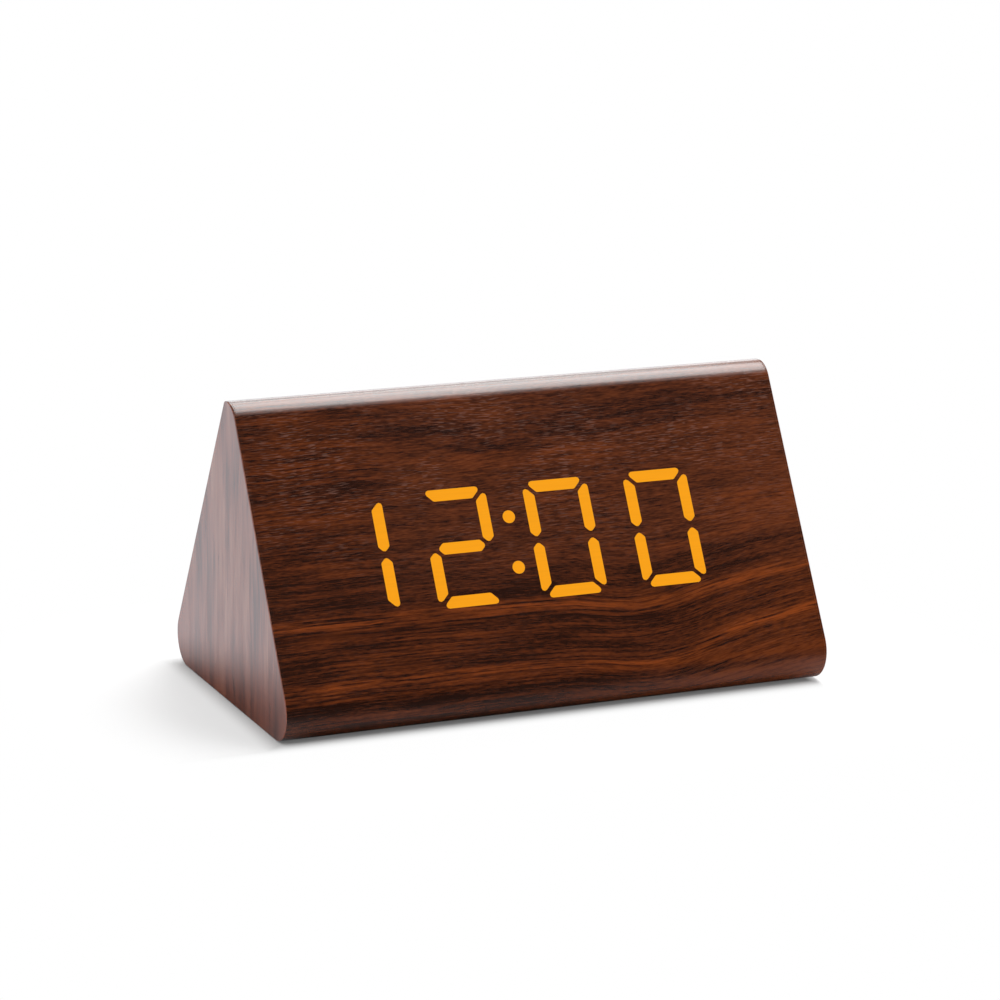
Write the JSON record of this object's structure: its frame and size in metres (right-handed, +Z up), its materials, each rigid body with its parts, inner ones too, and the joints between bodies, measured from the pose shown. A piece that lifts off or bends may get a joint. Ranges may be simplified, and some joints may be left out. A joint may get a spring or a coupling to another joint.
{
  "type": "digital alarm clock",
  "caption": "Triangular wood-grain desk alarm clock: lit seven-segment digits on the front slope, push keys and a power socket on the back slope, battery bay under a door.",
  "frame": {"origin": "middle of the body on the rest face, under the ridge", "axes": "+X along the body to the right seen from the front, +Y from front to back, +Z up from the rest face to the ridge"},
  "size_m": [0.13, 0.073, 0.068],
  "materials": {
    "walnut_film": "satin",
    "end_film": "satin",
    "fibreboard": "raw",
    "amber_light": "lit",
    "milky_plastic": "matte",
    "circuit_board": "satin",
    "led_chip": "gloss",
    "black_part": "matte",
    "dark_plastic": "fine texture",
    "key_plastic": "satin",
    "steel": "satin",
    "cell_wrap": "gloss",
    "cable": "satin"
  },
  "bodies": {
    "case": {"wood_shell": "walnut_film", "left_end_plug": "fibreboard", "right_end_plug": "fibreboard", "left_end_veneer": "end_film", "right_end_veneer": "end_film", "hour_tens": "amber_light", "hour_units": "amber_light", "colon_dots": "amber_light", "minute_tens": "amber_light", "minute_units": "amber_light", "diffuser_film": "milky_plastic", "segment_reflector": "milky_plastic", "display_board": "circuit_board", "segment_leds": "led_chip", "display_connector": "black_part", "display_screws": "steel", "control_panel": "dark_plastic", "panel_screws": "steel", "control_board": "circuit_board", "board_screws": "steel", "set_switch": "black_part", "up_switch": "black_part", "down_switch": "black_part", "power_socket": "steel", "socket_tongue": "black_part", "buzzer": "black_part", "microphone": "steel", "controller_chip": "black_part", "backup_cell": "steel", "backup_cell_clip": "black_part", "control_connector": "black_part", "display_ribbon": "cable", "base_plate": "dark_plastic", "base_screws": "steel", "contact_plates": "steel", "contact_springs": "steel", "battery_cell_1": "cell_wrap", "battery_cell_2": "cell_wrap", "battery_cell_3": "cell_wrap", "battery_cell_4": "cell_wrap", "battery_leads": "cable"},
    "set_button": {"set_key": "key_plastic", "set_plunger": "milky_plastic"},
    "up_button": {"up_key": "key_plastic", "up_plunger": "milky_plastic"},
    "down_button": {"down_key": "key_plastic", "down_plunger": "milky_plastic"},
    "door": {"battery_door": "dark_plastic"}
  },
  "joints": [
    {"name": "set_press", "type": "slide", "parent": "case", "child": "set_button", "axis": [0, -0.8642, -0.5031], "range_m": [0, 0.0005], "stiffness_N_per_m": 1500, "springref_m": -0.0002},
    {"name": "up_press", "type": "slide", "parent": "case", "child": "up_button", "axis": [0, -0.8642, -0.5031], "range_m": [0, 0.0005], "stiffness_N_per_m": 1500, "springref_m": -0.0002},
    {"name": "down_press", "type": "slide", "parent": "case", "child": "down_button", "axis": [0, -0.8642, -0.5031], "range_m": [0, 0.0005], "stiffness_N_per_m": 1500, "springref_m": -0.0002},
    {"name": "door_swing", "type": "hinge", "parent": "case", "child": "door", "pos_m": [-0.0211, 0, 0.0004], "axis": [0, 1, 0], "range_deg": [0, 110]}
  ]
}
